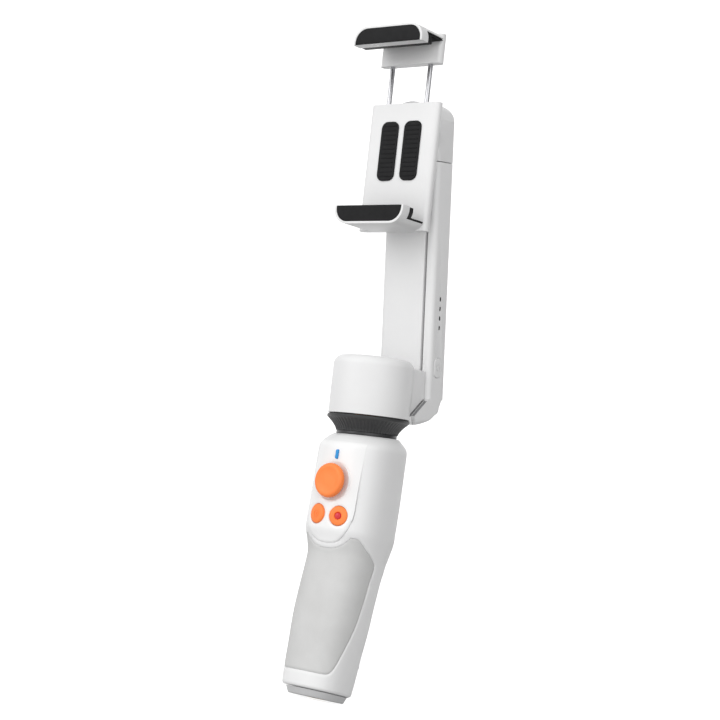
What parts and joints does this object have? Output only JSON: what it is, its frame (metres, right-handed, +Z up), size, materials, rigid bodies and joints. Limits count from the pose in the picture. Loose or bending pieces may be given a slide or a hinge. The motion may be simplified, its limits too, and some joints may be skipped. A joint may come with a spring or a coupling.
{
  "type": "phone gimbal stabilizer",
  "caption": "Two-axis folding phone stabilizer: handle with joystick and buttons, pan drum, extendable arm, roll motor and spring clamp.",
  "frame": {"origin": "centre of the tripod thread's mouth on the flat base", "axes": "+Z up the grip, -Y the side with the controls, +X the side with the power button"},
  "size_m": [0.0372, 0.0773, 0.2834],
  "materials": {
    "white_plastic": "satin moulded",
    "panel_plastic": "semi-gloss moulded",
    "grip_rubber": "soft matte",
    "grey_plastic": "satin moulded",
    "collar_plastic": "fine ribbed",
    "black_rubber": "matte",
    "black_plastic": "matte",
    "orange_plastic": "satin",
    "red_plastic": "gloss",
    "blue_light": "lit light pipe",
    "smoked_lens": "smoked",
    "steel": "ground",
    "brass": "turned",
    "copper_winding": "enamelled winding",
    "circuit_board": "solder mask",
    "cell_wrap": "shrink wrap"
  },
  "bodies": {
    "handle": {"handle_shell": "white_plastic", "rear_cover": "white_plastic", "control_panel": "panel_plastic", "grip_inlay": "grip_rubber", "base_foot": "grey_plastic", "tripod_insert": "brass", "battery": "cell_wrap", "main_board": "circuit_board", "usb_socket": "steel", "status_light": "blue_light", "shell_screws": "steel", "joystick_module": "black_plastic", "neck_ring": "collar_plastic", "ribbed_collar": "collar_plastic", "pan_stator": "copper_winding", "pan_bearings": "steel"},
    "joystick_yoke": {"joystick_yoke": "steel"},
    "joystick": {"joystick_cap": "orange_plastic"},
    "mode_button": {"mode_button": "orange_plastic"},
    "record_button": {"record_button": "orange_plastic", "record_dot": "red_plastic"},
    "zoom_slider": {"zoom_slider": "black_plastic"},
    "pan_head": {"pan_housing": "white_plastic", "pan_rotor": "steel", "pan_shaft": "steel", "hinge_base": "white_plastic", "hinge_pin": "steel", "hinge_washers": "black_plastic"},
    "arm": {"arm_housing": "white_plastic", "arm_cover": "white_plastic", "arm_board": "circuit_board", "battery_lights": "smoked_lens"},
    "power_button": {"power_button": "white_plastic"},
    "rod": {"extension_rod": "white_plastic", "rod_head": "white_plastic", "guide_pads": "black_plastic", "roll_stator": "copper_winding", "roll_bearing": "steel"},
    "clamp": {"roll_housing": "grey_plastic", "roll_shaft": "steel", "clamp_body": "white_plastic", "clamp_pad": "black_rubber", "lower_jaw": "white_plastic", "lower_jaw_face": "black_rubber", "lower_jaw_grip": "black_rubber", "clamp_springs": "steel", "clamp_screws": "steel"},
    "upper_jaw": {"upper_jaw": "white_plastic", "upper_jaw_face": "black_rubber", "upper_jaw_grip": "black_rubber", "guide_rods": "steel"}
  },
  "joints": [
    {"name": "pan", "type": "hinge", "parent": "handle", "child": "pan_head", "pos_m": [0, -0.0065, 0.1189], "axis": [0, -0.1736, 0.9848], "range_deg": [-150, 110]},
    {"name": "arm_fold", "type": "hinge", "parent": "pan_head", "child": "arm", "pos_m": [0, 0.02296, 0.13207], "axis": [-1, 0, 0], "range_deg": [0, 155]},
    {"name": "arm_extend", "type": "slide", "parent": "arm", "child": "rod", "axis": [0, -0.284, 0.9588], "range_m": [0, 0.06]},
    {"name": "roll", "type": "hinge", "parent": "rod", "child": "clamp", "pos_m": [0, -0.02791, 0.24033], "axis": [0, 0.9848, 0.1736], "range_deg": [-160, 160]},
    {"name": "jaw_slide", "type": "slide", "parent": "clamp", "child": "upper_jaw", "axis": [0, -0.1736, 0.9848], "range_m": [-0.016, 0.01], "stiffness_N_per_m": 120, "deforming": ["clamp_springs"]},
    {"name": "joystick_updown", "type": "hinge", "parent": "handle", "child": "joystick_yoke", "pos_m": [0, -0.01465, 0.08811], "axis": [1, 0, 0], "range_deg": [-6, 6], "stiffness_Nm_per_rad": 0.02},
    {"name": "joystick_side", "type": "hinge", "parent": "joystick_yoke", "child": "joystick", "pos_m": [0, -0.01465, 0.08811], "axis": [0, -0.1045, 0.9945], "range_deg": [-6, 6], "stiffness_Nm_per_rad": 0.02},
    {"name": "mode_press", "type": "slide", "parent": "handle", "child": "mode_button", "axis": [0.2406, 0.965, 0.1045], "range_m": [0, 0.0006], "stiffness_N_per_m": 600},
    {"name": "record_press", "type": "slide", "parent": "handle", "child": "record_button", "axis": [-0.2406, 0.965, 0.1045], "range_m": [0, 0.0006], "stiffness_N_per_m": 600},
    {"name": "power_press", "type": "slide", "parent": "arm", "child": "power_button", "axis": [-1, 0, 0], "range_m": [0, 0.0005], "stiffness_N_per_m": 600},
    {"name": "zoom_slide", "type": "slide", "parent": "handle", "child": "zoom_slider", "axis": [0, -0.1045, 0.9945], "range_m": [-0.003, 0.003], "stiffness_N_per_m": 300}
  ]
}
